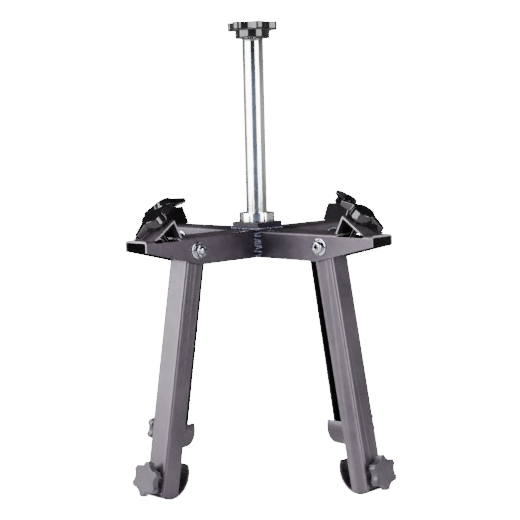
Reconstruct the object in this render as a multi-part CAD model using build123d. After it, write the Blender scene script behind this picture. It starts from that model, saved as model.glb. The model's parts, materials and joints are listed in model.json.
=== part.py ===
from build123d import *
from math import atan2, cos, degrees, hypot, radians, sin, tan
import os

# Engine stand: a bright post on a four-armed hub, with a leg hinged in each arm.
# Origin on the post's axis at floor level, +Z up, arms along +X, +Y, -X and -Y. Millimetres.

os.makedirs("parts", exist_ok=True)

# Legs and feet
splay = 10.5            # lean of each leg from the vertical, degrees
pivot_radius = 148.0    # from the post's axis to a leg's pivot
leg_span = 329.0        # pivot to the centre of the foot's curve
leg_width = 38.0
leg_depth = 31.0
leg_wall = 3.0
leg_bend = 5.0
shoe_radius = 34.5
shoe_plate = 3.0
shoe_start = 150.0      # inner end of the shoe's curve, degrees from outward

# Arms
pivot_drop = 20.0       # pivot below the arm's top face
arm_reach = 246.0
arm_width = 46.0
arm_wall = 3.0
arm_bend = 5.0
arm_depth = 42.0
arm_end_depth = 16.0
taper_start = 140.0     # the arm's lower edge rises from here to its end
window_start = 180.0    # opening through the arm's top, under the bracket
window_end = 229.0
window_depth = 4.0

# Bracket, an inverted angle standing over the window
bracket_inner = 178.0
bracket_outer = 231.0
bracket_apex = 192.0
bracket_height = 27.0
bracket_plate = 3.0
screw_down_slope = 15.4     # from the bracket's apex to the clamp screw

# Hub and post
plate_side = 54.0
plate_thick = 11.0
collar_radius = 27.0
collar_height = 14.0
collar_edge = 0.8
post_radius = 16.0
post_wall = 3.0
post_length = 277.0
plug_depth = 25.0
stud_depth = 22.0
weld_leg = 10.0

# Lobed knobs on the post and the feet
knob_lobes = 6
hollow_ratio = 0.56         # radius of the hollows between lobes, as a share of the knob's radius
hollow_reach = 1.35         # from the knob's axis to a hollow's centre, the same way
lobe_round = 0.07
top_knob_radius = 37.7
top_knob_grip = 12.5
top_boss_radius = 26.0
top_boss_height = 11.5
top_knob_turn = 31.0
foot_knob_radius = 25.5
foot_knob_grip = 10.5
foot_boss_radius = 8.5
foot_boss_height = 1.5
foot_knob_gap = 9.9         # sleeve between the leg and the foot knob
foot_screw_drop = 6.5       # foot screw below the centre of the foot's curve
foot_knob_turns = {"right": 0.0, "back": 0.0, "left": 0.0, "front": -7.0}
knob_edge = 1.0

# Winged knobs on the clamp screws
hub_foot_radius = 18.5
hub_top_radius = 16.0
hub_height = 14.0
wing_reach = 36.6
wing_tip_height = 7.0
wing_tip_width = 6.4
wing_root_width = 10.0
wing_round = 1.2
clamp_boss_radius = 11.0
clamp_lift = 5.3            # underside of the wings above the bracket's slope
wing_turns = {"right": 17.0, "back": 13.0, "left": 58.0, "front": -6.0}

# Fasteners
bolt_radius = 5.0
bolt_clearance = 0.06
washer_radius = 12.5
washer_thick = 2.0
inner_washer_radius = 10.0
side_play = 0.1
bolt_stub = 3.0             # bolt's end past its nut
head_radius = 9.0
head_height = 7.5
socket_flats = 6.0
nut_flats = 17.0
nut_height = 8.0
bush_radius = 8.0
foot_screw_radius = 4.0
foot_screw_start = -6.5     # from the middle of the leg's depth
foot_sleeve_radius = 6.5
foot_nut_flats = 13.0
foot_nut_height = 6.5
tip_gap = 0.3               # clamp screw's tip to the leg
turn_gap = 0.3              # under a knob that turns
screw_tip_bevel = 1.5
thread_grip = 8.0           # screw inside its knob

# Worked out
pivot_height = shoe_radius + leg_span * cos(radians(splay))
arm_top = pivot_height + pivot_drop
post_foot = arm_top + plate_thick
post_top = post_foot + post_length

corners = {"right": 0, "back": 90, "left": 180, "front": 270}


def save(shape, name):
    shape.label = name
    export_step(shape, f"parts/{name}.step")


def channel_section(width, depth, wall, bend):
    """U section, its web at +Y."""
    outer = Rectangle(width, depth)
    outer = fillet(outer.vertices().group_by(Axis.Y)[-1], bend)
    inner = Pos(0, -wall) * Rectangle(width - 2 * wall, depth)
    inner = fillet(inner.vertices().group_by(Axis.Y)[-1], bend - wall)
    return outer - inner


def rod(radius, low, high):
    """Cylinder along Z from low to high."""
    return Pos(0, 0, low) * Cylinder(radius, high - low, align=(Align.CENTER, Align.CENTER, Align.MIN))


def hex_prism(flats, low, high):
    section = RegularPolygon(flats / 2, 6, major_radius=False)
    return Pos(0, 0, low) * extrude(section, high - low)


def across(shape):
    """Turns a shape built along Z to lie along Y."""
    return Rot(-90, 0, 0) * shape


def at_corner(shape, angle):
    return Rot(0, 0, angle) * shape


def on_leg(shape, angle):
    """From the leg's own frame, pivot at the origin and foot straight down, to its place."""
    return at_corner(Pos(pivot_radius, 0, pivot_height) * Rot(0, -splay, 0) * shape, angle)


def star_knob(radius, grip, boss_radius, boss_height, bore, bore_depth):
    """Lobed knob along +Z: boss from 0, grip above it, threaded hole from below."""
    outline = Circle(radius)
    for i in range(knob_lobes):
        turn = 360 / knob_lobes * (i + 0.5)
        outline -= Rot(0, 0, turn) * Pos(radius * hollow_reach, 0) * Circle(radius * hollow_ratio)
    outline = fillet(outline.vertices(), radius * lobe_round)
    body = Pos(0, 0, boss_height) * extrude(outline, grip)
    body = chamfer(body.edges().group_by(Axis.Z)[-1], knob_edge)
    body += rod(boss_radius, 0, boss_height)
    return body - rod(bore, 0, bore_depth)


def wing_knob():
    """Round hub with two wings along X, heights measured from the bracket's slope."""
    side = make_face(Polyline(
        (-wing_reach, 0),
        (wing_reach, 0),
        (wing_reach, wing_tip_height),
        (hub_top_radius, hub_height),
        (-hub_top_radius, hub_height),
        (-wing_reach, wing_tip_height),
        close=True,
    ))
    plan = make_face(Polyline(
        (-wing_reach, -wing_tip_width / 2),
        (0, -wing_root_width / 2),
        (wing_reach, -wing_tip_width / 2),
        (wing_reach, wing_tip_width / 2),
        (0, wing_root_width / 2),
        (-wing_reach, wing_tip_width / 2),
        close=True,
    ))
    wings = extrude(Plane.XZ * side, wing_root_width, both=True) & extrude(plan, hub_height)
    ends = wings.edges().filter_by(Axis.Z).filter_by(lambda edge: abs(edge.center().X) > hub_foot_radius)
    wings = fillet(ends, wing_round)
    hub = Cone(hub_foot_radius, hub_top_radius, hub_height, align=(Align.CENTER, Align.CENTER, Align.MIN))
    hub = fillet(hub.edges().group_by(Axis.Z)[-1], wing_round)
    body = Pos(0, 0, clamp_lift) * (wings + hub) + rod(clamp_boss_radius, turn_gap, clamp_lift)
    return body - rod(bolt_radius, 0, clamp_bore)


def make_arm():
    section = channel_section(arm_width, arm_depth, arm_wall, arm_bend)
    arm = extrude(Plane.YZ * Pos(0, arm_top - arm_depth / 2) * section, arm_reach)
    taper = Plane.XZ * make_face(Polyline(
        (taper_start, arm_top - arm_depth),
        (arm_reach, arm_top - arm_end_depth),
        (arm_reach, arm_top - arm_depth),
        close=True,
    ))
    arm -= extrude(taper, arm_width, both=True)
    mitre = make_face(Polyline((0, 0), (arm_reach, -arm_reach), (arm_reach, arm_reach), close=True))
    arm &= Pos(0, 0, arm_top - arm_depth) * extrude(mitre, arm_depth)
    window_length = window_end - window_start
    window = Box(window_length, arm_width, window_depth, align=(Align.MIN, Align.CENTER, Align.MAX))
    arm -= Pos(window_start, 0, arm_top) * window
    bolt_hole = across(rod(bolt_radius, -arm_width, arm_width))
    return arm - Pos(pivot_radius, 0, pivot_height) * bolt_hole


def make_leg():
    foot_inside = shoe_radius - shoe_plate
    plane = Plane(origin=(0, 0, leg_depth / 2), x_dir=(0, 1, 0), z_dir=(0, 0, -1))
    leg = extrude(plane * channel_section(leg_width, leg_depth, leg_wall, leg_bend), leg_span + 2 * leg_depth)
    side = Pos(0, 0, -leg_span / 2) * Box(2 * foot_inside, leg_width, leg_span)
    side += across(rod(leg_depth / 2, -leg_width / 2, leg_width / 2))
    side += Pos(0, 0, -leg_span) * across(rod(foot_inside, -leg_width / 2, leg_width / 2))
    leg &= side
    leg -= across(rod(bolt_radius + bolt_clearance, -leg_width, leg_width))
    screw_hole = Rot(0, 90, 0) * rod(foot_screw_radius + bolt_clearance, 0, leg_depth)
    return leg - Pos(0, 0, -leg_span - foot_screw_drop) * screw_hole


def make_shoe():
    inside = shoe_radius - shoe_plate
    web_side = degrees(atan2((inside**2 - (leg_depth / 2) ** 2) ** 0.5, leg_depth / 2))
    sweep = 360 - web_side - shoe_start
    outer = CenterArc((0, 0), shoe_radius, shoe_start, sweep)
    inner = CenterArc((0, 0), inside, shoe_start, sweep)
    plate = make_face(outer + Line(outer @ 1, inner @ 1) + inner + Line(inner @ 0, outer @ 0))
    return Pos(0, 0, -leg_span) * extrude(Plane.XZ * plate, leg_width / 2, both=True)


def make_bracket():
    base = bracket_outer - bracket_inner
    outer_lean = atan2(bracket_height, bracket_outer - bracket_apex)
    inner_lean = atan2(bracket_height, bracket_apex - bracket_inner)
    inside_start = bracket_inner + bracket_plate / sin(inner_lean)
    inside_end = bracket_outer - bracket_plate / sin(outer_lean)
    shrink = (inside_end - inside_start) / base
    section = make_face(Polyline(
        (bracket_inner, 0),
        (bracket_apex, bracket_height),
        (bracket_outer, 0),
        (inside_end, 0),
        (inside_start + shrink * (bracket_apex - bracket_inner), shrink * bracket_height),
        (inside_start, 0),
        close=True,
    ))
    bracket = Pos(0, 0, arm_top) * extrude(Plane.XZ * section, arm_width / 2, both=True)
    hole = rod(bolt_radius + bolt_clearance, -bracket_height, bracket_height)
    return bracket - clamp_place * hole


def make_clamp_screw():
    shank = rod(bolt_radius, -clamp_reach, clamp_bore)
    return chamfer(shank.edges().group_by(Axis.Z)[0], screw_tip_bevel)


def make_foot_screw():
    screw = rod(foot_screw_radius, foot_screw_start, leg_depth / 2 + foot_knob_gap + foot_bore)
    sleeve = rod(foot_sleeve_radius, leg_depth / 2 + side_play, leg_depth / 2 + foot_knob_gap)
    return on_foot_axis(screw + sleeve)


def on_foot_axis(shape):
    """Turns a shape built along Z to point outward along the foot screw."""
    return Pos(0, 0, -leg_span - foot_screw_drop) * Rot(0, 90, 0) * shape


# The clamp screw stands square on the bracket's outer slope, and its tip bears on the leg's web.
slope_lean = degrees(atan2(bracket_height, bracket_outer - bracket_apex))
along = screw_down_slope / hypot(bracket_height, bracket_outer - bracket_apex)
clamp_x = bracket_apex + along * (bracket_outer - bracket_apex)
clamp_z = arm_top + bracket_height * (1 - along)
clamp_place = Pos(clamp_x, 0, clamp_z) * Rot(0, slope_lean, 0)

# Distance down the screw to the web's outer face, a line through the pivot's height and the splay
web_x = pivot_radius + leg_depth / 2 / cos(radians(splay))
gap_at_slope = (clamp_x - web_x) * cos(radians(splay)) + (clamp_z - pivot_height) * sin(radians(splay))
meet = gap_at_slope / sin(radians(slope_lean + splay))
tip_corner = bolt_radius / tan(radians(slope_lean + splay))
clamp_reach = meet - tip_gap - tip_corner

clamp_bore = clamp_lift + thread_grip
foot_bore = thread_grip
top_bore = top_boss_height + thread_grip / 2

# Hub and post
save(Pos(0, 0, arm_top + plate_thick / 2) * Box(plate_side, plate_side, plate_thick), "hub_plate")
collar = rod(collar_radius, post_foot, post_foot + collar_height)
collar = chamfer(collar.edges().group_by(Axis.Z)[-1], collar_edge)
save(collar - rod(post_radius, post_foot, post_foot + collar_height), "collar")
post_tube = rod(post_radius, post_foot, post_top)
save(post_tube - rod(post_radius - post_wall, post_foot, post_top), "post")
plug = rod(post_radius - post_wall, post_top - plug_depth, post_top)
save(plug - rod(bolt_radius + bolt_clearance, post_top - plug_depth, post_top), "post_plug")
save(rod(bolt_radius, post_top - stud_depth, post_top + top_bore), "top_stud")
top_knob = star_knob(top_knob_radius, top_knob_grip, top_boss_radius, top_boss_height, bolt_radius, top_bore)
save(Pos(0, 0, post_top + turn_gap) * Rot(0, 0, top_knob_turn) * top_knob, "top_knob")

# Corner welds between neighbouring arms
corner = arm_width / 2
bead = make_face(Polyline(
    (corner, corner), (corner + weld_leg, corner), (corner, corner + weld_leg), close=True
))
bead_height = arm_depth - arm_bend
bead = Pos(0, 0, arm_top - arm_depth) * extrude(bead, bead_height)
save(Compound([at_corner(bead, angle) for angle in corners.values()]), "hub_welds")

# Fasteners that stay with the arms, in groups
half = arm_width / 2
pivot_nut = hex_prism(nut_flats, half + washer_thick, half + washer_thick + nut_height)
pivot_nut -= rod(bolt_radius, 0, arm_width)
washer = rod(washer_radius, 0, washer_thick) - rod(bolt_radius, 0, washer_thick)
inner_thick = half - arm_wall - leg_width / 2 - side_play
inner_washer = rod(inner_washer_radius, 0, inner_thick) - rod(bolt_radius, 0, inner_thick)
washers = [
    Pos(0, 0, half) * washer,
    Pos(0, 0, -half - washer_thick) * washer,
    Pos(0, 0, half - arm_wall - inner_thick) * inner_washer,
    Pos(0, 0, arm_wall - half) * inner_washer,
]
slope_nut = hex_prism(nut_flats, -bracket_plate - nut_height, -bracket_plate)
slope_nut -= rod(bolt_radius + bolt_clearance, -bracket_height, 0)
at_pivot = Pos(pivot_radius, 0, pivot_height)
nut_group = []
washer_group = []
slope_nut_group = []
for angle in corners.values():
    nut_group.append(at_corner(at_pivot * across(pivot_nut), angle))
    washer_group += [at_corner(at_pivot * across(piece), angle) for piece in washers]
    slope_nut_group.append(at_corner(clamp_place * Rot(0, 0, 30) * slope_nut, angle))
save(Compound(nut_group), "pivot_nuts")
save(Compound(washer_group), "pivot_washers")
save(Compound(slope_nut_group), "bracket_nuts")

# One of each per corner
bolt_end = half + washer_thick + nut_height + bolt_stub
bolt = rod(bolt_radius, -half - washer_thick, bolt_end)
head = rod(head_radius, -half - washer_thick - head_height, -half - washer_thick)
head = fillet(head.edges().group_by(Axis.Z)[0], head_height / 2)
head -= hex_prism(socket_flats, -half - washer_thick - head_height, -half - washer_thick - head_height / 2)
pivot_bolt = across(bolt + head)
bush_half = leg_width / 2 - leg_wall
bush = rod(bush_radius, -bush_half, bush_half) - rod(bolt_radius + bolt_clearance, -bush_half, bush_half)
web_inside = leg_depth / 2 - leg_wall
foot_nut = hex_prism(foot_nut_flats, web_inside - foot_nut_height, web_inside)
foot_nut -= rod(foot_screw_radius + bolt_clearance, 0, web_inside)
foot_knob = star_knob(
    foot_knob_radius, foot_knob_grip, foot_boss_radius, foot_boss_height, foot_screw_radius, foot_bore
)
clamp_knob = wing_knob()
leg = make_leg()
shoe = make_shoe()
arm = make_arm()
bracket = make_bracket()
clamp_screw = make_clamp_screw()
foot_screw = make_foot_screw()
foot_knob_place = Pos(0, 0, leg_depth / 2 + foot_knob_gap)
for name, angle in corners.items():
    save(at_corner(arm, angle), f"arm_{name}")
    save(at_corner(bracket, angle), f"bracket_{name}")
    save(at_corner(at_pivot * pivot_bolt, angle), f"pivot_bolt_{name}")
    save(on_leg(leg, angle), f"leg_{name}")
    save(on_leg(shoe, angle), f"shoe_{name}")
    save(on_leg(across(bush), angle), f"pivot_bush_{name}")
    save(on_leg(on_foot_axis(foot_nut), angle), f"foot_nut_{name}")
    save(on_leg(foot_screw, angle), f"foot_screw_{name}")
    turned = on_foot_axis(foot_knob_place * Rot(0, 0, foot_knob_turns[name]) * foot_knob)
    save(on_leg(turned, angle), f"foot_knob_{name}")
    save(at_corner(clamp_place * clamp_screw, angle), f"clamp_screw_{name}")
    turned = clamp_place * Rot(0, 0, wing_turns[name]) * clamp_knob
    save(at_corner(turned, angle), f"clamp_knob_{name}")
print(f"arm top {arm_top:.1f}, overall {post_top + turn_gap + top_boss_height + top_knob_grip:.1f}")
print(f"clamp screw {clamp_x:.1f}, {clamp_z:.1f}, lean {slope_lean:.2f}, reach {clamp_reach:.1f}")
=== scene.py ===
import json
import math
import bmesh
import bpy
from mathutils import Matrix, Vector


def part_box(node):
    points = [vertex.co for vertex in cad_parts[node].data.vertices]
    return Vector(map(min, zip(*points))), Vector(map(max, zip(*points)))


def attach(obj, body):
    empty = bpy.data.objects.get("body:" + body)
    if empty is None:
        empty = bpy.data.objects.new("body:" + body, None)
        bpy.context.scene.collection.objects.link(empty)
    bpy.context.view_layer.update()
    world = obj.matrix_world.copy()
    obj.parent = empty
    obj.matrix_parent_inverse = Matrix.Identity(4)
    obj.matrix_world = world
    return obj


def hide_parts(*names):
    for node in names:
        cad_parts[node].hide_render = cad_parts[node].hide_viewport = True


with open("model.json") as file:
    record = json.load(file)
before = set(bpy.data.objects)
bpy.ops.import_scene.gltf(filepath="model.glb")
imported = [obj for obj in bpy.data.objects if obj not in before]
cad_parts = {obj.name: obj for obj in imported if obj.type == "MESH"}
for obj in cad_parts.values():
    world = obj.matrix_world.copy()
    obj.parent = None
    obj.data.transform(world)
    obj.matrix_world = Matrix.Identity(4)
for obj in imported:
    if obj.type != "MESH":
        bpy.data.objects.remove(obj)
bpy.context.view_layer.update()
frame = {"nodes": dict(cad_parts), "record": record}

joints = {joint["name"]: joint for joint in frame["record"]["behaviour"]["joints"]}
corners = {"right": 0, "back": 90, "left": 180, "front": 270}
mm = 0.001


# material nodes
def newMaterial(name):
    mat = bpy.data.materials.new(name)
    mat.use_nodes = True
    tree = mat.node_tree
    coords = tree.nodes.new("ShaderNodeTexCoord").outputs["Object"]
    return mat, tree, tree.nodes["Principled BSDF"], coords


def addNoise(tree, coords, scale, detail=3.0, rough=0.5):
    node = tree.nodes.new("ShaderNodeTexNoise")
    tree.links.new(coords, node.inputs["Vector"])
    node.inputs["Scale"].default_value = scale
    node.inputs["Detail"].default_value = detail
    node.inputs["Roughness"].default_value = rough
    return node.outputs["Fac"]


def addRamp(tree, value, stops):
    node = tree.nodes.new("ShaderNodeValToRGB")
    tree.links.new(value, node.inputs["Fac"])
    ramp = node.color_ramp
    while len(ramp.elements) < len(stops):
        ramp.elements.new(0.5)
    for element, (place, colour) in zip(ramp.elements, stops):
        element.position = place
        element.color = (*colour, 1.0)
    return node.outputs["Color"]


def addMix(tree, factor, first, second, blend="MIX"):
    node = tree.nodes.new("ShaderNodeMix")
    node.data_type = "RGBA"
    node.blend_type = blend
    node.clamp_factor = True
    usable = [s for s in node.inputs if s.enabled and s.type in ("RGBA", "VALUE")]
    for label, value in (("Factor", factor), ("A", first), ("B", second)):
        target = [s for s in usable if s.name == label][0]
        if isinstance(value, bpy.types.NodeSocket):
            tree.links.new(value, target)
        elif isinstance(value, float):
            target.default_value = value
        else:
            target.default_value = (*value, 1.0)
    return [s for s in node.outputs if s.enabled][0]


def addMath(tree, operation, first, second=0.0, third=None):
    node = tree.nodes.new("ShaderNodeMath")
    node.operation = operation
    values = (first, second) if third is None else (first, second, third)
    for socket, value in zip(node.inputs, values):
        if isinstance(value, bpy.types.NodeSocket):
            tree.links.new(value, socket)
        else:
            socket.default_value = value
    return node.outputs[0]


def addBump(tree, shader, height, strength, distance):
    node = tree.nodes.new("ShaderNodeBump")
    node.inputs["Strength"].default_value = strength
    node.inputs["Distance"].default_value = distance
    tree.links.new(height, node.inputs["Height"])
    tree.links.new(node.outputs["Normal"], shader.inputs["Normal"])


def grey(value, tint=(1.0, 1.0, 1.0)):
    return tuple(value * t for t in tint)


def wornEdgesAndShadedHollows(tree, low, high):
    # high where the surface turns sharply outward and low in hollows: edge wear on the paint and plastic,
    # painted shade in the hollows of the zinc parts
    pointy = tree.nodes.new("ShaderNodeNewGeometry").outputs["Pointiness"]
    return addRamp(tree, pointy, [(low, grey(0.0)), (high, grey(1.0))])


def sheetSides(tree, coords):
    # how far a face looks into its channel (the mask for painted shade), along the sheet's width, and away
    # from the post
    normal = tree.nodes.new("ShaderNodeTexCoord").outputs["Normal"]
    place, facing = (tree.nodes.new("ShaderNodeSeparateXYZ") for _ in range(2))
    tree.links.new(coords, place.inputs[0])
    tree.links.new(normal, facing.inputs[0])
    x, y = place.outputs["X"], place.outputs["Y"]
    nx, ny = facing.outputs["X"], facing.outputs["Y"]
    alongX = addMath(tree, "GREATER_THAN", addMath(tree, "ABSOLUTE", x), addMath(tree, "ABSOLUTE", y))
    alongY = addMath(tree, "SUBTRACT", 1.0, alongX)

    def pick(onX, onY):
        first, second = addMath(tree, "MULTIPLY", alongX, onX), addMath(tree, "MULTIPLY", alongY, onY)
        return addMath(tree, "ADD", first, second)

    signedX = addMath(tree, "MULTIPLY", nx, addMath(tree, "SIGN", x))
    signedY = addMath(tree, "MULTIPLY", ny, addMath(tree, "SIGN", y))
    outward = pick(signedX, signedY)
    wide = pick(signedY, signedX)
    across, back = (addMath(tree, "MULTIPLY", way, -1.0) for way in (wide, outward))
    inward = addMath(tree, "MAXIMUM", across, back)
    # faces that look down get the painted shade sooner
    below = addMath(tree, "MULTIPLY", facing.outputs["Z"], -1.6)
    return addMath(tree, "MAXIMUM", inward, below), wide, outward


# satin black coat on the hub plate, arms, brackets, legs and shoes
# inside: depth of the painted shade in channels and under downward faces; insideFacing: where it starts and
# where it is full
coatLook = {
    "dark": 0.020, "light": 0.032, "tint": (1.10, 0.88, 1.10), "shine": (1.0, 0.88, 1.08),
    "worn": (0.13, 0.12, 0.13), "wearAndShadeRange": (0.57, 0.66), "cut": (0.20, 0.19, 0.205), "cutFacing": (0.90, 0.97),
    "inside": 0.16, "insideFacing": (0.35, 0.70), "rough": 0.33, "specular": 0.62, "coat": 0.08,
    "coatRough": 0.20, "bump": 0.16, "hubShadeScale": 5.0, "patchScale": 11.0, "fineScale": 55.0,
    "scuffScale": 130.0, "speckleScale": 210.0, "peelScale": 850.0,
}
# painted shade near the hub, from darkest at the post to none further out
hubShadeStops = [(0.12, (0.26, 0.25, 0.36)), (0.32, (0.55, 0.53, 0.60)), (0.60, (1.0, 1.0, 1.0))]


def powderCoat(name, look=coatLook, paintHubShade=False, paleCuts="", paintInsideShade=True):
    mat, tree, shader, coords = newMaterial(name)
    patches = addNoise(tree, coords, look["patchScale"], 5.0, 0.62)
    dark, light = grey(look["dark"], look["tint"]), grey(look["light"], look["tint"])
    colour = addRamp(tree, patches, [(0.36, dark), (0.64, light)])
    # painted shade: colour darkened on faces that look into a channel, back towards the post or down, where
    # shade falls
    inside, wide, outward = sheetSides(tree, coords)
    deep = grey(look["inside"] if paintInsideShade else 1.0)
    insideFrom, insideTo = look["insideFacing"]
    shade = addRamp(tree, inside, [(insideFrom, grey(1.0)), (insideTo, deep)])
    if paintHubShade:
        # painted shade near the hub: paint darker and slightly blue towards the post and its welds
        split = tree.nodes.new("ShaderNodeSeparateXYZ")
        tree.links.new(coords, split.inputs[0])
        squares = [addMath(tree, "POWER", split.outputs[axis], 2.0) for axis in "XY"]
        reach = addMath(tree, "SQRT", addMath(tree, "ADD", *squares))
        reach = addMath(tree, "MULTIPLY", reach, look["hubShadeScale"])
        drift = addMath(tree, "MULTIPLY", addMath(tree, "SUBTRACT", patches, 0.5), 0.5)
        hubShadeTone = addRamp(tree, addMath(tree, "ADD", reach, drift), hubShadeStops)
        shade = addMix(tree, 1.0, shade, hubShadeTone, "MULTIPLY")
    colour = addMix(tree, 1.0, colour, shade, "MULTIPLY")
    scuffs = addNoise(tree, coords, look["scuffScale"], 4.0, 0.7)
    scuffs = addMath(tree, "MULTIPLY", wornEdgesAndShadedHollows(tree, *look["wearAndShadeRange"]), scuffs)
    colour = addMix(tree, scuffs, colour, look["worn"])
    if paleCuts:
        facing = addMath(tree, "ABSOLUTE", wide) if paleCuts == "across" else outward
        speckle = addNoise(tree, coords, look["speckleScale"], 4.0, 0.6)
        speckle = addRamp(tree, speckle, [(0.3, grey(0.55)), (0.6, grey(1.0))])
        cutFrom, cutTo = look["cutFacing"]
        pale = addRamp(tree, facing, [(cutFrom, grey(0.0)), (cutTo, grey(1.0))])
        colour = addMix(tree, addMath(tree, "MULTIPLY", pale, speckle), colour, look["cut"])
    tree.links.new(colour, shader.inputs["Base Color"])
    fine = addNoise(tree, coords, look["fineScale"], 6.0, 0.68)
    rough = addRamp(tree, fine, [(0.32, grey(look["rough"] - 0.05)), (0.70, grey(look["rough"] + 0.08))])
    tree.links.new(rough, shader.inputs["Roughness"])
    # the painted shade also dims the reflection and the coat
    tree.links.new(addMath(tree, "MULTIPLY", shade, look["specular"]), shader.inputs["Specular IOR Level"])
    tree.links.new(addMath(tree, "MULTIPLY", shade, look["coat"]), shader.inputs["Coat Weight"])
    shader.inputs["Specular Tint"].default_value = (*look["shine"], 1.0)
    shader.inputs["Coat Roughness"].default_value = look["coatRough"]
    grain = addNoise(tree, coords, look["peelScale"], 2.0, 0.5)
    grain = addMath(tree, "ADD", grain, addMath(tree, "MULTIPLY", fine, 0.6))
    addBump(tree, shader, grain, look["bump"], 0.0004)
    return mat


weldLook = {
    "dark": (0.008, 0.008, 0.022), "light": (0.035, 0.035, 0.075), "rough": 0.26, "specular": 0.8,
    "coat": 0.3, "coatRough": 0.15, "crustScale": 420.0,
}


def weldCoat(name, look=weldLook):
    mat, tree, shader, coords = newMaterial(name)
    crust = addNoise(tree, coords, look["crustScale"], 5.0, 0.7)
    colour = addRamp(tree, crust, [(0.35, look["dark"]), (0.68, look["light"])])
    tree.links.new(colour, shader.inputs["Base Color"])
    rough = addRamp(tree, crust, [(0.3, grey(look["rough"] - 0.06)), (0.7, grey(look["rough"] + 0.14))])
    tree.links.new(rough, shader.inputs["Roughness"])
    shader.inputs["Specular IOR Level"].default_value = look["specular"]
    shader.inputs["Coat Weight"].default_value = look["coat"]
    shader.inputs["Coat Roughness"].default_value = look["coatRough"]
    addBump(tree, shader, crust, 0.5, 0.0008)
    return mat


# bright plating on the post and collar, with faint turning lines round the axis
plateLook = {"colour": (0.83, 0.855, 0.875), "dull": 0.92, "rough": 0.10, "lines": 2600.0, "haze": 26.0}


def brightPlate(name, look=plateLook):
    mat, tree, shader, coords = newMaterial(name)
    mapping = tree.nodes.new("ShaderNodeMapping")
    mapping.inputs["Scale"].default_value = (6.0, 6.0, look["lines"])
    tree.links.new(coords, mapping.inputs["Vector"])
    turned = addNoise(tree, mapping.outputs["Vector"], 1.0, 2.0, 0.5)
    haze = addNoise(tree, coords, look["haze"], 5.0, 0.6)
    shader.inputs["Metallic"].default_value = 1.0
    dull = tuple(c * look["dull"] for c in look["colour"])
    tree.links.new(addRamp(tree, haze, [(0.3, dull), (0.7, look["colour"])]), shader.inputs["Base Color"])
    rough = addRamp(tree, haze, [(0.3, grey(look["rough"])), (0.7, grey(look["rough"] + 0.07))])
    tree.links.new(rough, shader.inputs["Roughness"])
    addBump(tree, shader, turned, 0.05, 0.0002)
    return mat


# hollow: colour of the painted shade in hollows and in the bolts' sockets
zincLook = {
    "blue": (0.40, 0.43, 0.52), "mid": (0.50, 0.51, 0.56), "warm": (0.56, 0.55, 0.53), "rough": 0.05,
    "hollow": (0.08, 0.08, 0.09), "wearAndShadeRange": (0.43, 0.50), "cloudScale": 95.0, "grainScale": 750.0,
    "belowSlopeTone": (0.10, 0.09, 0.09), "belowSlopeTop": 0.396, "belowSlopeEdge": 0.004,
    "pivotReach": 0.148, "pivotHeight": 0.358, "socketReach": 0.0036, "socketMouth": 0.0321,
}


def zincPlate(name, look=zincLook, darkBelowSlope=False, paintSocketShade=False):
    mat, tree, shader, coords = newMaterial(name)
    cloud = addNoise(tree, coords, look["cloudScale"], 5.0, 0.62)
    shader.inputs["Metallic"].default_value = 1.0
    colour = addRamp(tree, cloud, [(0.30, look["blue"]), (0.52, look["mid"]), (0.74, look["warm"])])
    # painted shade: the zinc darkened in hollows, where the surface turns inward
    shade = addMix(tree, wornEdgesAndShadedHollows(tree, *look["wearAndShadeRange"]), look["hollow"], (1.0, 1.0, 1.0))
    split = tree.nodes.new("ShaderNodeSeparateXYZ")
    tree.links.new(coords, split.inputs[0])
    if paintSocketShade:
        # painted shade inside the hexagon socket of each pivot bolt's head
        sizes = [addMath(tree, "ABSOLUTE", split.outputs[axis]) for axis in "XY"]
        along = addMath(tree, "SUBTRACT", addMath(tree, "MAXIMUM", *sizes), look["pivotReach"])
        up = addMath(tree, "SUBTRACT", split.outputs["Z"], look["pivotHeight"])
        away = addMath(tree, "ADD", addMath(tree, "POWER", along, 2.0), addMath(tree, "POWER", up, 2.0))
        near = addMath(tree, "LESS_THAN", addMath(tree, "SQRT", away), look["socketReach"])
        deep = addMath(tree, "LESS_THAN", addMath(tree, "MINIMUM", *sizes), look["socketMouth"])
        shade = addMix(tree, addMath(tree, "MULTIPLY", near, deep), shade, look["hollow"])
    if darkBelowSlope:
        # the thread darker below the bracket's slope
        above = addMath(tree, "SUBTRACT", split.outputs["Z"], look["belowSlopeTop"])
        above = addMath(tree, "DIVIDE", above, look["belowSlopeEdge"])
        shade = addMix(tree, addMath(tree, "ADD", above, cloud), look["belowSlopeTone"], shade)
    tree.links.new(addMix(tree, 1.0, colour, shade, "MULTIPLY"), shader.inputs["Base Color"])
    rough = addRamp(tree, cloud, [(0.3, grey(look["rough"])), (0.7, grey(look["rough"] + 0.10))])
    tree.links.new(rough, shader.inputs["Roughness"])
    addBump(tree, shader, addNoise(tree, coords, look["grainScale"], 3.0, 0.6), 0.07, 0.0003)
    return mat


# moulded plastic, gloss on the big knobs and satin on the foot knobs
plasticLook = {
    "tint": (1.06, 0.92, 1.10), "wearAndShadeRange": (0.52, 0.62), "wearShare": 0.35, "wornTone": 2.5, "coatRough": 0.04,
    "cloudScale": 48.0,
}
glossLook = {
    **plasticLook, "dark": 0.003, "light": 0.006, "rough": 0.08, "coat": 0.12, "grainScale": 1500.0,
    "grain": 0.03, "shine": (1.0, 0.94, 0.98), "specular": 0.42,
}
satinLook = {
    **plasticLook, "dark": 0.022, "light": 0.038, "rough": 0.40, "coat": 0.10, "grainScale": 1300.0,
    "grain": 0.22, "shine": (1.0, 0.86, 1.08), "specular": 0.5,
}


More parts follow.
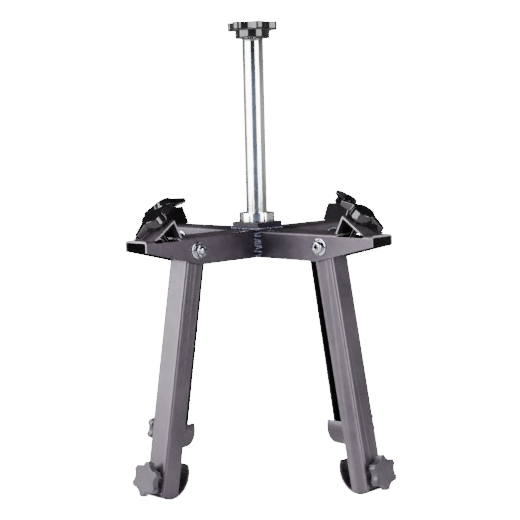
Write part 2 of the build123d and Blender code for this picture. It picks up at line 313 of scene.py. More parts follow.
def mouldedPlastic(name, look):
    mat, tree, shader, coords = newMaterial(name)
    tint = look["tint"]
    cloud = addNoise(tree, coords, look["cloudScale"], 5.0, 0.62)
    colour = addRamp(tree, cloud, [(0.3, grey(look["dark"], tint)), (0.7, grey(look["light"], tint))])
    rubbed = addMath(tree, "MULTIPLY", wornEdgesAndShadedHollows(tree, *look["wearAndShadeRange"]), look["wearShare"])
    worn = grey(look["light"] * look["wornTone"], tint)
    tree.links.new(addMix(tree, rubbed, colour, worn), shader.inputs["Base Color"])
    rough = addRamp(tree, cloud, [(0.3, grey(look["rough"] - 0.03)), (0.7, grey(look["rough"] + 0.06))])
    tree.links.new(rough, shader.inputs["Roughness"])
    shader.inputs["Specular Tint"].default_value = (*look["shine"], 1.0)
    shader.inputs["Specular IOR Level"].default_value = look["specular"]
    shader.inputs["Coat Weight"].default_value = look["coat"]
    shader.inputs["Coat Roughness"].default_value = look["coatRough"]
    addBump(tree, shader, addNoise(tree, coords, look["grainScale"], 3.0, 0.55), look["grain"], 0.0003)
    return mat


bronzeLook = {
    "dark": (0.42, 0.30, 0.16), "light": (0.60, 0.45, 0.26), "rough": (0.35, 0.5), "cloudScale": 120.0,
}


def bronzeBush(name, look=bronzeLook):
    mat, tree, shader, coords = newMaterial(name)
    cloud = addNoise(tree, coords, look["cloudScale"], 4.0, 0.6)
    shader.inputs["Metallic"].default_value = 1.0
    colour = addRamp(tree, cloud, [(0.3, look["dark"]), (0.7, look["light"])])
    tree.links.new(colour, shader.inputs["Base Color"])
    smooth, coarse = look["rough"]
    rough = addRamp(tree, cloud, [(0.3, grey(smooth)), (0.7, grey(coarse))])
    tree.links.new(rough, shader.inputs["Roughness"])
    addBump(tree, shader, cloud, 0.08, 0.0003)
    return mat


finishes = {
    "frame_black": powderCoat("frameCoat", paintHubShade=True),
    "leg_black": powderCoat("legCoat"),
    "weld_black": weldCoat("weldCoat"),
    "bright_plate": brightPlate("brightPlate"),
    "zinc_fastener": zincPlate("zincPlate"),
    "gloss_knob": mouldedPlastic("glossPlastic", glossLook),
    "satin_knob": mouldedPlastic("satinPlastic", satinLook),
    "bush_bronze": bronzeBush("bronzeBush"),
}
belowSlopeZinc = zincPlate("belowSlopeZinc", darkBelowSlope=True)
boltZinc = zincPlate("boltZinc", paintSocketShade=True)
sheetPaint = {
    "arm": powderCoat("armCoat", paintHubShade=True, paleCuts="outward"),
    "bracket": powderCoat("bracketCoat", paleCuts="across"),
    "shoe": powderCoat("shoeCoat", paintInsideShade=False),
}
slotOf = {part["node"]: part["material_slot"] for part in frame["record"]["subparts"]}
for nodeName, slotName in slotOf.items():
    node = frame["nodes"][nodeName]
    node.data.materials.clear()
    node.data.materials.append(finishes[slotName])
print("finishes:", len(finishes))


# moves along and round a place's own Z
def upBy(height):
    return Matrix.Translation((0, 0, height))


def turnBy(degrees):
    return Matrix.Rotation(math.radians(degrees), 4, "Z")


# places on the stand, each with its own Z along the joint or bolt
def cornerTurn(corner):
    return turnBy(corners[corner])


def jointPlace(name, corner):
    axis = Vector(joints[name]["axis"]).normalized()
    across = cornerTurn(corner).to_3x3() @ Vector((0, 1, 0))
    turn = Matrix((across.cross(axis), across, axis)).transposed().to_4x4()
    return Matrix.Translation(joints[name]["pos_m"]) @ turn


def boltPlace(corner):
    pivot = Matrix.Translation(joints["leg_pivot_right"]["pos_m"])
    return cornerTurn(corner) @ (pivot @ Matrix.Rotation(math.radians(-90), 4, "X"))


def newObject(name, data):
    thing = bpy.data.objects.new(name, data)
    bpy.context.scene.collection.objects.link(thing)
    return thing


def finishPiece(name, mesh, nodes, body, paint=None):
    piece = newObject(name, mesh)
    slotName = slotOf[nodes[0]]
    mesh.materials.clear()
    mesh.materials.append(paint or finishes[slotName])
    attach(piece, body)
    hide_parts(*nodes)


def joined(name, parts):
    # parts: pairs of a mesh and the place it goes to
    shape = bmesh.new()
    for mesh, place in parts:
        start = len(shape.verts)
        shape.from_mesh(mesh)
        shape.verts.ensure_lookup_table()
        bmesh.ops.transform(shape, matrix=place, verts=shape.verts[start:])
    result = bpy.data.meshes.new(name)
    shape.to_mesh(result)
    shape.free()
    return result


def shadeSmooth(mesh, angle):
    mesh.shade_smooth()
    shape = bmesh.new()
    shape.from_mesh(mesh)
    for edge in shape.edges:
        edge.smooth = len(edge.link_faces) == 2 and edge.calc_face_angle(0.0) < math.radians(angle)
    shape.to_mesh(mesh)
    shape.free()
    return mesh


# ring by ring shapes: a row is (radius, height), each a number or a rule of the angle, and 0 closes an end
def turnedShape(name, rows, count=64, angles=None, loop=False, smoothAngle=32):
    angles = angles or [2 * math.pi * i / count for i in range(count)]
    shape = bmesh.new()
    rings = []
    for radius, height in rows:
        if radius == 0:
            rings.append([shape.verts.new((0, 0, height))])
            continue
        ring = []
        for a in angles:
            r = radius(a) if callable(radius) else radius
            z = height(a) if callable(height) else height
            ring.append(shape.verts.new((r * math.cos(a), r * math.sin(a), z)))
        rings.append(ring)
    pairs = list(zip(rings, rings[1:])) + ([(rings[-1], rings[0])] if loop else [])
    for low, high in pairs:
        for i in range(len(angles)):
            j = (i + 1) % len(angles)
            if len(low) == 1:
                shape.faces.new((low[0], high[j], high[i]))
            elif len(high) == 1:
                shape.faces.new((low[i], low[j], high[0]))
            else:
                shape.faces.new((low[i], low[j], high[j], high[i]))
    bmesh.ops.recalc_face_normals(shape, faces=shape.faces)
    mesh = bpy.data.meshes.new(name)
    shape.to_mesh(mesh)
    shape.free()
    return shadeSmooth(mesh, smoothAngle)


# geometry node trees: each input has a first value, or the kind of its socket where it has none
def newTree(name, inputs):
    tree = bpy.data.node_groups.new(name, "GeometryNodeTree")
    for label, value in inputs.items():
        number = "NodeSocketInt" if isinstance(value, int) else "NodeSocketFloat"
        kind = value if isinstance(value, str) else number
        socket = tree.interface.new_socket(label, in_out="INPUT", socket_type=kind)
        if kind == number:
            socket.default_value = value
    tree.interface.new_socket("Geometry", in_out="OUTPUT", socket_type="NodeSocketGeometry")
    return tree, tree.nodes.new("NodeGroupInput").outputs


def addGeo(tree, kind, **values):
    node = tree.nodes.new(kind)
    for label, value in values.items():
        socket = node.inputs[label.replace("_", " ")]
        if isinstance(value, bpy.types.NodeSocket):
            tree.links.new(value, socket)
        else:
            socket.default_value = value
    return node


def addCurve(tree, value, points):
    # a straight-lined rule through evenly spaced values
    node = tree.nodes.new("ShaderNodeFloatCurve")
    tree.links.new(value, node.inputs["Value"])
    node.mapping.use_clip = False
    curve = node.mapping.curves[0]
    while len(curve.points) < len(points):
        curve.points.new(0.5, 0.5)
    for i, height in enumerate(points):
        curve.points[i].location = (i / (len(points) - 1), height)
        curve.points[i].handle_type = "VECTOR"
    node.mapping.update()
    return node.outputs["Value"]


def addShare(tree, size, value, points):
    # a size times such a rule
    return addMath(tree, "MULTIPLY", size, addCurve(tree, value, points))


def gridWrap(tree, around, rows):
    # a flat grid's own two directions, each from 0 to 1
    grid = addGeo(tree, "GeometryNodeMeshGrid", Size_X=1.0, Size_Y=1.0, Vertices_X=around, Vertices_Y=rows)
    place = tree.nodes.new("GeometryNodeInputPosition").outputs[0]
    split = addGeo(tree, "ShaderNodeSeparateXYZ", Vector=place)
    u = addMath(tree, "ADD", split.outputs["X"], 0.5)
    v = addMath(tree, "ADD", split.outputs["Y"], 0.5)
    return grid.outputs["Mesh"], u, v


def closeWrap(tree, grid, angle, radius, height, material):
    combined = addGeo(
        tree, "ShaderNodeCombineXYZ",
        X=addMath(tree, "MULTIPLY", radius, addMath(tree, "COSINE", angle)),
        Y=addMath(tree, "MULTIPLY", radius, addMath(tree, "SINE", angle)),
        Z=height,
    )
    moved = addGeo(tree, "GeometryNodeSetPosition", Geometry=grid, Position=combined.outputs[0])
    merged = addGeo(tree, "GeometryNodeMergeByDistance", Geometry=moved.outputs[0], Distance=0.000002)
    endTree(tree, merged.outputs[0], material)


def endTree(tree, geometry, material):
    real = addGeo(tree, "GeometryNodeRealizeInstances", Geometry=geometry)
    painted = addGeo(tree, "GeometryNodeSetMaterial", Geometry=real.outputs[0], Material=material)
    out = tree.nodes.new("NodeGroupOutput")
    tree.links.new(painted.outputs[0], out.inputs[0])


def runTree(name, tree, values, smoothAngle=32, outward=True):
    holder = newObject(name + "Maker", bpy.data.meshes.new(name + "Maker"))
    modifier = holder.modifiers.new("maker", "NODES")
    modifier.node_group = tree
    for item in tree.interface.items_tree:
        if item.in_out == "INPUT" and item.name in values:
            modifier[item.identifier] = values[item.name]
    holder.update_tag()
    depsgraph = bpy.context.evaluated_depsgraph_get()
    mesh = bpy.data.meshes.new_from_object(holder.evaluated_get(depsgraph), depsgraph=depsgraph)
    mesh.name = name
    holder.modifiers.remove(modifier)
    bpy.data.objects.remove(holder)
    if outward:
        shape = bmesh.new()
        shape.from_mesh(mesh)
        bmesh.ops.recalc_face_normals(shape, faces=shape.faces)
        shape.to_mesh(mesh)
        shape.free()
    return shadeSmooth(mesh, smoothAngle)


# lobed knob: round hollows, sized as shares of its radius, cut a disc into lobes, on a plain boss
knobHollow = {"reach": 1.35, "size": 0.56}
topKnob = {
    "Radius": 37.7 * mm, "Grip": 12.5 * mm, "Boss Radius": 26.0 * mm, "Boss Height": 11.5 * mm,
    "Edge": 1.1 * mm, "Lobes": 6.0, "Lobe Round": 0.14, "turn": 31.0, "lift": 0.3 * mm,
}
footKnob = {
    "Radius": 25.5 * mm, "Grip": 10.5 * mm, "Boss Radius": 8.5 * mm, "Boss Height": 1.5 * mm,
    "Edge": 1.1 * mm, "Lobes": 6.0, "Lobe Round": 0.03, "lift": 9.9 * mm,
    "turns": {"right": 0.0, "back": 0.0, "left": 0.0, "front": -7.0},
}


def starKnobTree(material):
    tree, given = newTree("lobedKnob", {
        "Radius": 0.03, "Grip": 0.01, "Boss Radius": 0.01, "Boss Height": 0.002, "Edge": 0.001,
        "Lobes": 6.0, "Lobe Round": 0.05,
    })
    grid, u, v = gridWrap(tree, 217, 33)
    angle = addMath(tree, "MULTIPLY", u, 2 * math.pi)
    share = addMath(tree, "ADD", addMath(tree, "MULTIPLY", u, given["Lobes"]), 0.00001)
    share = addMath(tree, "FRACT", share)
    swing = addMath(tree, "MULTIPLY", addMath(tree, "SUBTRACT", share, 0.5), 2 * math.pi)
    swing = addMath(tree, "DIVIDE", swing, given["Lobes"])
    reach = addMath(tree, "MULTIPLY", given["Radius"], knobHollow["reach"])
    hollow = addMath(tree, "MULTIPLY", given["Radius"], knobHollow["size"])
    side = addMath(tree, "POWER", addMath(tree, "MULTIPLY", reach, addMath(tree, "SINE", swing)), 2.0)
    inside = addMath(tree, "SUBTRACT", addMath(tree, "POWER", hollow, 2.0), side)
    inside = addMath(tree, "MAXIMUM", inside, 0.0)
    cut = addMath(tree, "MULTIPLY", reach, addMath(tree, "COSINE", swing))
    cut = addMath(tree, "SUBTRACT", cut, addMath(tree, "SQRT", inside))
    soft = addMath(tree, "MULTIPLY", given["Radius"], given["Lobe Round"])
    outline = addMath(tree, "SMOOTH_MIN", given["Radius"], cut, soft)
    # 33 rows, from the middle of the boss, round the lobes, to the middle of the face
    boss = [0, 0.5, 0.9] + [1] * 6 + [0] * 24
    lobes = [0] * 9 + [0.86, 0.93] + [1] * 12 + [0.96, 0.9, 0.82, 0.72, 0.6, 0.47, 0.34, 0.2, 0.08, 0]
    inset = [0] * 3 + [0.35, 0.1] + [0] * 6 + [1, 0.62, 0.29, 0.08] + [0] * 3 + [0.04, 0.15, 0.4, 0.7]
    inset += [1] * 8 + [0.8, 0.4, 0]
    bossRise = [0] * 5 + [0.3, 0.6, 0.9] + [1] * 25
    gripRise = [0] * 15 + [0.33, 0.66] + [1] * 16
    edgeRise = [0, 0, 0, 0.08, 0.4] + [0] * 7 + [0.08, 0.29, 0.62, 1, 0, -1, -0.72, -0.45, -0.2, -0.06]
    edgeRise += [0] * 11
    radius = addShare(tree, given["Boss Radius"], v, boss)
    radius = addMath(tree, "ADD", radius, addShare(tree, outline, v, lobes))
    radius = addMath(tree, "SUBTRACT", radius, addShare(tree, given["Edge"], v, inset))
    radius = addMath(tree, "MAXIMUM", radius, 0.0)
    height = addShare(tree, given["Boss Height"], v, bossRise)
    height = addMath(tree, "ADD", height, addShare(tree, given["Grip"], v, gripRise))
    height = addMath(tree, "ADD", height, addShare(tree, given["Edge"], v, edgeRise))
    closeWrap(tree, grid, angle, radius, height, material)
    return tree


starTree = starKnobTree(finishes["gloss_knob"])
knobMesh = runTree("topKnobShape", starTree, topKnob, 44)
knobPlace = Matrix.Translation(joints["top_knob_turn"]["pos_m"]) @ upBy(topKnob["lift"])
knobPlace = knobPlace @ turnBy(topKnob["turn"])
finishPiece("topLobedKnob", joined("topLobedKnob", [(knobMesh, knobPlace)]), ["top_knob"], "top_knob")
footMesh = runTree("footKnobShape", starTree, footKnob, 44)
for corner, turn in footKnob["turns"].items():
    place = jointPlace("foot_turn_" + corner, corner) @ upBy(footKnob["lift"]) @ turnBy(turn)
    mesh = joined("footLobedKnob_" + corner, [(footMesh, place)])
    finishPiece("footLobedKnob_" + corner, mesh, ["foot_knob_" + corner], "foot_" + corner)
print("lobed knobs: 5, faces in each:", len(footMesh.polygons))


# winged knob: a tapered round hub with two wings that thin towards their tips
wingKnob = {
    "reach": 36.6 * mm, "tipHeight": 7.0 * mm, "tipWidth": 6.4 * mm, "rootWidth": 10.0 * mm,
    "hubFoot": 18.5 * mm, "hubTop": 16.0 * mm, "height": 14.0 * mm, "lift": 5.3 * mm,
    "boss": 11.0 * mm, "gap": 0.3 * mm, "blend": 5.5 * mm, "tipBlend": 1.6 * mm, "slopeBlend": 0.25,
    "edge": 1.3 * mm, "steps": 90, "squeeze": 0.13,
    "turns": {"right": 17.0, "back": 13.0, "left": 58.0, "front": -6.0},
}


def softMin(a, b, k):
    h = max(k - abs(a - b), 0.0) / k
    return min(a, b) - h * h * k * 0.25


def softMax(a, b, k):
    return -softMin(-a, -b, k)


def wingKnobMesh(name, look):
    taper = (look["rootWidth"] - look["tipWidth"]) / 2 / look["reach"]

    def wing(a):
        along, across = abs(math.cos(a)), abs(math.sin(a))
        flank = look["rootWidth"] / 2 / max(across + taper * along, 0.0001)
        tip = look["reach"] / max(along, 0.0001)
        return min(softMin(tip, flank, look["tipBlend"]), look["reach"])

    def outline(hub, cut=0.0):
        return lambda a: max(softMax(wing(a), hub, look["blend"]) - cut, 0.001)

    def topAt(radius):
        slope = (look["reach"] - radius) / (look["reach"] - look["hubTop"])
        drop = softMin(slope, 1.0, look["slopeBlend"])
        return look["lift"] + look["tipHeight"] + (look["height"] - look["tipHeight"]) * max(drop, 0.0)

    # the angles crowd together at the wings' tips
    angles = []
    for half in (0, math.pi):
        for i in range(look["steps"]):
            t = math.pi * (i / look["steps"] - 0.5)
            angles.append(half + math.atan2(look["squeeze"] * math.sin(t), math.cos(t)))
    edge, low = look["edge"], look["lift"]
    foot, top = look["hubFoot"], look["hubTop"]
    boss, gap = look["boss"], look["gap"]
    rows = [(0, gap), (boss * 0.6, gap), (boss, gap + 0.3 * mm), (boss, low)]
    for share in (0.6, 0.85, 1.0):
        rows.append((outline(foot * share, edge), low))
    for step in range(1, 4):
        t = math.pi / 6 * step
        rows.append((outline(foot, edge * (1 - math.sin(t))), low + edge * (1 - math.cos(t))))
    for share in (0.25, 0.5, 0.75):
        hub = foot + (top - foot) * share
        rule = outline(hub)
        rows.append((rule, lambda a, s=share, r=rule: low + edge + (topAt(r(a)) - low - 2 * edge) * s))
    rule = outline(top)
    for step in range(4):
        t = math.pi / 6 * step
        inner = outline(top, edge * (1 - math.cos(t)))
        rows.append((inner, lambda a, s=math.sin(t), r=inner: topAt(r(a)) - edge * (1 - s)))
    for share in (0.92, 0.8, 0.68, 0.56, 0.44, 0.34, 0.24, 0.14, 0.06):
        inner = lambda a, s=share, r=outline(top, edge): r(a) * s
        rows.append((inner, lambda a, r=inner: topAt(r(a))))
    rows.append((0, low + look["height"]))
    return turnedShape(name, rows, angles=angles, smoothAngle=40)


wingMesh = wingKnobMesh("wingKnobShape", wingKnob)
for corner, turn in wingKnob["turns"].items():
    place = jointPlace("clamp_turn_" + corner, corner) @ turnBy(turn)
    mesh = joined("wingKnob_" + corner, [(wingMesh, place)])
    finishPiece("wingKnob_" + corner, mesh, ["clamp_knob_" + corner], "clamp_" + corner)
print("winged knobs: 4, faces in each:", len(wingMesh.polygons))


# screws: a thread that climbs round the shank, with a bevelled end
coarseThread = {"Radius": 5.0 * mm, "Depth": 0.75 * mm, "Pitch": 1.5 * mm}
clampThread = {**coarseThread, "Length": 74.4 * mm, "Bevel": 1.3 * mm}
boltThread = {**coarseThread, "Length": 16.0 * mm, "Bevel": 1.0 * mm}
footThread = {
    "Radius": 4.0 * mm, "Depth": 0.65 * mm, "Pitch": 1.25 * mm, "Length": 22.0 * mm, "Bevel": 0.8 * mm,
}


def threadTree(material, rows):
    tree, given = newTree("screwThread", {
        "Radius": 0.005, "Depth": 0.0007, "Pitch": 0.0015, "Length": 0.05, "Bevel": 0.001,
    })
    grid, u, v = gridWrap(tree, 33, rows)
    height = addMath(tree, "MULTIPLY", v, given["Length"])
    turns = addMath(tree, "SUBTRACT", addMath(tree, "DIVIDE", height, given["Pitch"]), u)
    share = addMath(tree, "FRACT", addMath(tree, "ADD", turns, 100.0))
    # a ridge with a narrow flat at the thread's root
    ridge = addMath(tree, "SUBTRACT", addMath(tree, "MULTIPLY", share, 2.0), 1.0)
    ridge = addMath(tree, "MULTIPLY", addMath(tree, "ABSOLUTE", ridge), 1.3)
    ridge = addMath(tree, "MINIMUM", ridge, 1.0)
    radius = addMath(tree, "SUBTRACT", given["Radius"], addMath(tree, "MULTIPLY", given["Depth"], ridge))
    # bevel both ends, then close them at the axis
    nearEnd = addMath(tree, "MINIMUM", height, addMath(tree, "SUBTRACT", given["Length"], height))
    limit = addMath(tree, "SUBTRACT", given["Radius"], addMath(tree, "SUBTRACT", given["Bevel"], nearEnd))
    radius = addMath(tree, "MINIMUM", radius, limit)
    radius = addMath(tree, "MULTIPLY", radius, addMath(tree, "GREATER_THAN", nearEnd, 0.0000001))
    closeWrap(tree, grid, addMath(tree, "MULTIPLY", u, 2 * math.pi), radius, height, material)
    return tree


def threadMesh(name, look):
    rows = int(look["Length"] / look["Pitch"] * 6) + 3
    return runTree(name, threadTree(finishes["zinc_fastener"], rows), look, smoothAngle=70)


clampMesh = threadMesh("clampThreadShape", clampThread)
tipReach = 61.2 * mm
for corner in corners:
    place = jointPlace("clamp_turn_" + corner, corner) @ upBy(-tipReach)
    mesh = joined("clampScrew_" + corner, [(clampMesh, place)])
    finishPiece("clampScrew_" + corner, mesh, ["clamp_screw_" + corner], "clamp_" + corner, belowSlopeZinc)

# foot screw: thread inside the leg, plain sleeve outside it
footSleeve = {
    "radius": 6.5 * mm, "start": 0.1 * mm, "end": 9.9 * mm, "edge": 0.5 * mm, "groove": 0.25 * mm,
    "threadOut": 0.4 * mm,
}
footThreadMesh = threadMesh("footThreadShape", footThread)
r, e = footSleeve["radius"], footSleeve["edge"]
start, end = footSleeve["start"], footSleeve["end"]
sleeveMesh = turnedShape("sleeveShape", [
    (0, start), (r - e, start), (r - e * 0.3, start + e * 0.3), (r, start + e),
    (r, end * 0.45), (r - footSleeve["groove"], end * 0.5), (r, end * 0.55),
    (r, end - e), (r - e * 0.3, end - e * 0.3), (r - e, end), (0, end),
], 48)
threadStart = footSleeve["threadOut"] - footThread["Length"]
for corner in corners:
    base = jointPlace("foot_turn_" + corner, corner)
    mesh = joined("footScrew_" + corner, [(footThreadMesh, base @ upBy(threadStart)), (sleeveMesh, base)])
    finishPiece("footScrew_" + corner, mesh, ["foot_screw_" + corner], "foot_" + corner)
print("threads: clamp", len(clampMesh.polygons), "foot", len(footThreadMesh.polygons), "faces")


# hexagon nuts with turned corners
pivotNut = {"Flats": 17.0 * mm, "Height": 8.0 * mm, "Bore": 5.0 * mm}
footNut = {"Flats": 13.0 * mm, "Height": 6.5 * mm, "Bore": 4.06 * mm}


def hexNutTree(material):
    tree, given = newTree("hexNut", {"Flats": 0.017, "Height": 0.008, "Bore": 0.005})
    grid, u, v = gridWrap(tree, 97, 17)
    share = addMath(tree, "FRACT", addMath(tree, "ADD", addMath(tree, "MULTIPLY", u, 6.0), 0.00001))
    swing = addMath(tree, "MULTIPLY", addMath(tree, "SUBTRACT", share, 0.5), math.pi / 3)
    half = addMath(tree, "MULTIPLY", given["Flats"], 0.5)
    hexagon = addMath(tree, "DIVIDE", half, addMath(tree, "COSINE", swing))
    # the corners fall away under a cone
    fall = addMath(tree, "SUBTRACT", hexagon, addMath(tree, "MULTIPLY", half, 0.97))
    fall = addMath(tree, "MULTIPLY", fall, 0.55)
    # 17 rows, from inside the bore, over the nut's sides, to the bore again
    bore = [1, 1] + [0] * 11 + [1.12, 1, 1, 1]
    cone = [0, 0.12, 0.8, 0.97] + [0] * 7 + [0.97, 0.8, 0, 0, 0, 0]
    sides = [0] * 4 + [0.995, 1, 1, 1, 1, 1, 0.995] + [0] * 6
    rise = [0.06, 0, 0, 0, 0, 0.05, 0.3, 0.5, 0.7, 0.95, 1, 1, 1, 1, 0.94, 0.5, 0.06]
    drop = [0, 0, 0, 0, 1, 1, 0.5, 0, -0.5, -1, -1] + [0] * 6
    radius = addMath(tree, "ADD", addShare(tree, given["Bore"], v, bore), addShare(tree, half, v, cone))
    radius = addMath(tree, "ADD", radius, addShare(tree, hexagon, v, sides))
    height = addMath(tree, "ADD", addShare(tree, given["Height"], v, rise), addShare(tree, fall, v, drop))
    closeWrap(tree, grid, addMath(tree, "MULTIPLY", u, 2 * math.pi), radius, height, material)
    return tree


# copies of one corner's piece, turned round the post
def aroundTree(material):
    tree, given = newTree("aroundPost", {"Piece": "NodeSocketObject", "Count": 4})
    piece = addGeo(tree, "GeometryNodeObjectInfo", Object=given["Piece"])
    points = addGeo(tree, "GeometryNodeMeshLine", Count=given["Count"], Offset=(0.0, 0.0, 0.0))
    index = tree.nodes.new("GeometryNodeInputIndex").outputs[0]
    step = addMath(tree, "DIVIDE", 2 * math.pi, given["Count"])
    turn = addGeo(tree, "ShaderNodeCombineXYZ", Z=addMath(tree, "MULTIPLY", index, step))
    placed = addGeo(
        tree, "GeometryNodeInstanceOnPoints",
        Points=points.outputs[0], Instance=piece.outputs["Geometry"], Rotation=turn.outputs[0],
    )
    endTree(tree, placed.outputs[0], material)
    return tree


def aroundPost(name, mesh, tree, smoothAngle=32):
    source = newObject(name + "One", mesh)
    result = runTree(name, tree, {"Piece": source, "Count": 4}, smoothAngle, outward=False)
    bpy.data.objects.remove(source)
    return result


zincAround = aroundTree(finishes["zinc_fastener"])
nutTree = hexNutTree(finishes["zinc_fastener"])
nutMesh = runTree("pivotNutShape", nutTree, pivotNut)
footNutMesh = runTree("footNutShape", nutTree, footNut)
armHalf, sheetThick, washerThick = 23.0 * mm, 3.0 * mm, 2.0 * mm
nutSeat = boltPlace("right") @ upBy(armHalf + washerThick)
pivotNuts = aroundPost("pivotNuts", joined("pivotNut", [(nutMesh, nutSeat)]), zincAround)
finishPiece("pivotNuts", pivotNuts, ["pivot_nuts"], "base")
slopeSeat = jointPlace("clamp_turn_right", "right") @ upBy(-sheetThick - pivotNut["Height"]) @ turnBy(30)
slopeNuts = aroundPost("bracketNuts", joined("slopeNut", [(nutMesh, slopeSeat)]), zincAround)
finishPiece("bracketNuts", slopeNuts, ["bracket_nuts"], "base")
for corner in corners:
    place = jointPlace("foot_turn_" + corner, corner) @ upBy(-sheetThick - footNut["Height"])
    mesh = joined("footNut_" + corner, [(footNutMesh, place)])
    finishPiece("footNut_" + corner, mesh, ["foot_nut_" + corner], "leg_" + corner)

washerSize = {
    "radius": 12.5 * mm, "shimRadius": 10.0 * mm, "bore": 5.0 * mm, "edge": 0.35 * mm, "shimEdge": 0.15 * mm,
}


def washerMesh(name, radius, bore, thick, edge):
    return turnedShape(name, [
        (bore, edge), (bore + edge, 0), (radius - edge, 0), (radius - edge * 0.3, edge * 0.3), (radius, edge),
        (radius, thick - edge), (radius - edge * 0.3, thick - edge * 0.3), (radius - edge, thick),
        (bore + edge, thick), (bore, thick - edge),
    ], 56, loop=True, smoothAngle=50)


legHalf, sidePlay = 19.0 * mm, 0.1 * mm
shimThick = armHalf - sheetThick - legHalf - sidePlay
bore = washerSize["bore"]
outerWasher = washerMesh("washerShape", washerSize["radius"], bore, washerThick, washerSize["edge"])
shim = washerMesh("shimShape", washerSize["shimRadius"], bore, shimThick, washerSize["shimEdge"])
seats = [
    (outerWasher, armHalf), (outerWasher, -armHalf - washerThick),
    (shim, armHalf - sheetThick - shimThick), (shim, sheetThick - armHalf),
]
washerGroup = joined("washers", [(piece, boltPlace("right") @ upBy(z)) for piece, z in seats])
pivotWashers = aroundPost("pivotWashers", washerGroup, zincAround, 50)
finishPiece("pivotWashers", pivotWashers, ["pivot_washers"], "base")

# pivot bolts: domed head with a hexagon socket, plain shank, threaded end
boltLook = {
    "radius": 5.0 * mm, "head": 9.0 * mm, "headHeight": 7.5 * mm, "round": 3.4 * mm, "socket": 6.0 * mm,
    "socketDepth": 4.0 * mm, "pastNut": 3.0 * mm, "threadLap": 0.2 * mm,
}


def hexRule(flats):
    return lambda a: flats / 2 / math.cos((a + math.pi / 6) % (math.pi / 3) - math.pi / 6)


def boltHead(name, look):
    # the seat is at height 0 and the head goes down from it
    wide, tall, curve = look["head"], look["headHeight"], look["round"]
    rows = [(0, 0), (wide * 0.7, 0), (wide - 0.3 * mm, 0), (wide, -0.3 * mm), (wide, -(tall - curve) * 0.6)]
    for i in range(9):
        t = math.pi / 2 * i / 8
        rows.append((wide - curve + curve * math.cos(t), -(tall - curve) - curve * math.sin(t)))
    socket, deep = look["socket"], -tall + look["socketDepth"]
    lip = socket / 2 / math.cos(math.pi / 6)
    rows += [
        (lip + 0.5 * mm, -tall), (lip + 0.1 * mm, -tall + 0.15 * mm), (hexRule(socket), -tall + 0.6 * mm),
        (hexRule(socket), deep), (hexRule(socket * 0.5), deep + 0.6 * mm), (0, deep + 1.2 * mm),
    ]
    return turnedShape(name, rows, 72, smoothAngle=35)


headMesh = boltHead("boltHeadShape", boltLook)
boltEndMesh = threadMesh("boltEndShape", boltThread)
boltSeat = -armHalf - washerThick
boltEnd = armHalf + washerThick + pivotNut["Height"] + boltLook["pastNut"]
threadStart = boltEnd - boltThread["Length"]
shankEnd = threadStart + boltLook["threadLap"]
shankMesh = turnedShape("shankShape", [
    (0, boltSeat), (boltLook["radius"], boltSeat), (boltLook["radius"], shankEnd), (0, shankEnd),
], 40)
for corner in corners:
    base = boltPlace(corner)
    mesh = joined("pivotBolt_" + corner, [
        (shankMesh, base), (headMesh, base @ upBy(boltSeat)), (boltEndMesh, base @ upBy(threadStart)),
    ])
    finishPiece("pivotBolt_" + corner, mesh, ["pivot_bolt_" + corner], "base", boltZinc)
print("fasteners: nuts", len(pivotNuts.polygons), "bolt head", len(headMesh.polygons), "faces")


# weld beads: rippled scales laid along a line, repeated at the four corners
cornerWeld = {
    "Ripples": 13, "Across": 7.4 * mm, "Out": 4.6 * mm, "Along": 1.9 * mm, "Seed": 7, "Wander": 1.0 * mm,
    "corner": 2.3 * mm, "lowGap": 2.2 * mm, "highGap": 4.5 * mm,
}
plateWeld = {
    "Ripples": 23, "Across": 3.1 * mm, "Out": 2.4 * mm, "Along": 1.7 * mm, "Seed": 19, "Wander": 0.3 * mm,
    "side": 0.3 * mm, "rise": 1.3 * mm, "endGap": 2.0 * mm,
}


def weldTree(material):
    tree, given = newTree("weldBead", {
        "Start": "NodeSocketVector", "End": "NodeSocketVector", "Lie": "NodeSocketVector", "Ripples": 12,
        "Across": 0.007, "Out": 0.003, "Along": 0.002, "Wander": 0.0005, "Seed": 1,
    })
    line = addGeo(tree, "GeometryNodeCurvePrimitiveLine", Start=given["Start"], End=given["End"])
    points = addGeo(tree, "GeometryNodeResampleCurve", Curve=line.outputs[0], Count=given["Ripples"])
    scale = addGeo(tree, "GeometryNodeMeshUVSphere", Segments=20, Rings=12, Radius=1.0)
    shape = addGeo(tree, "ShaderNodeCombineXYZ", X=given["Across"], Y=given["Out"], Z=given["Along"])

    def chance(low, high, offset):
        node = tree.nodes.new("FunctionNodeRandomValue")
        node.data_type = "FLOAT_VECTOR"
        lowest, highest, seed = [s for s in node.inputs if s.enabled and s.name in ("Min", "Max", "Seed")]
        lowest.default_value, highest.default_value = low, high
        tree.links.new(addMath(tree, "ADD", given["Seed"], offset), seed)
        return [s for s in node.outputs if s.enabled][0]

    def vectorMath(operation, first, second, factor=None):
        node = tree.nodes.new("ShaderNodeVectorMath")
        node.operation = operation
        tree.links.new(first, node.inputs[0])
        if second is not None:
            tree.links.new(second, node.inputs[1])
        if factor is not None:
            tree.links.new(factor, node.inputs["Scale"])
        return node.outputs[0]

    size = vectorMath("MULTIPLY", shape.outputs[0], chance((0.84, 0.8, 0.85), (1.08, 1.12, 1.2), 0.0))
    lean = vectorMath("ADD", given["Lie"], chance((-0.3, -0.35, -0.1), (0.3, 0.35, 0.1), 3.0))
    shift = vectorMath("SCALE", chance((-1.0, -1.0, -1.0), (1.0, 1.0, 1.0), 5.0), None, given["Wander"])
    moved = addGeo(tree, "GeometryNodeSetPosition", Geometry=points.outputs[0], Offset=shift)
    placed = addGeo(
        tree, "GeometryNodeInstanceOnPoints",
        Points=moved.outputs[0], Instance=scale.outputs[0], Rotation=lean, Scale=size,
    )
    endTree(tree, placed.outputs[0], material)
    return tree


